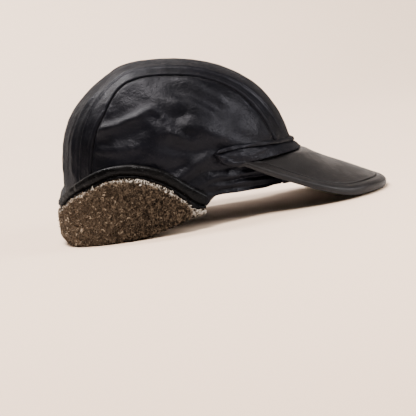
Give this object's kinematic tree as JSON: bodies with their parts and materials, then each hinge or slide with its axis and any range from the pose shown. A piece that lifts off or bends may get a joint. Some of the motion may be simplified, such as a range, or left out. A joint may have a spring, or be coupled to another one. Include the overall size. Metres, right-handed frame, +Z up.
{
  "type": "sheepskin cap",
  "caption": "Close-fitting black leather cap with a stiff peak, a raised band above it, and a fleece ear and neck flap turned up round the back.",
  "frame": {"origin": "bottom centre of the overall box, on the surface the cap rests on", "axes": "+X from the back of the head to the peak, +Y to the wearer's left, +Z up; the cap stands on the flap's fold at the back and on the peak's edge"},
  "size_m": [0.306, 0.1852, 0.1524],
  "materials": {
    "crown_leather": "smooth black nappa, soft sheen",
    "peak_leather": "smooth black nappa over a stiff core, soft sheen",
    "flap_leather": "smooth black leather",
    "fleece": "short curly brown wool with pale tips"
  },
  "bodies": {
    "root": {"crown_centre": "crown_leather", "crown_side_right": "crown_leather", "crown_side_left": "crown_leather", "seam_strip_right": "crown_leather", "seam_strip_left": "crown_leather", "front_band": "crown_leather", "peak": "peak_leather", "flap_leather": "flap_leather", "flap_binding": "flap_leather", "flap_fleece": "fleece"}
  },
  "joints": []
}
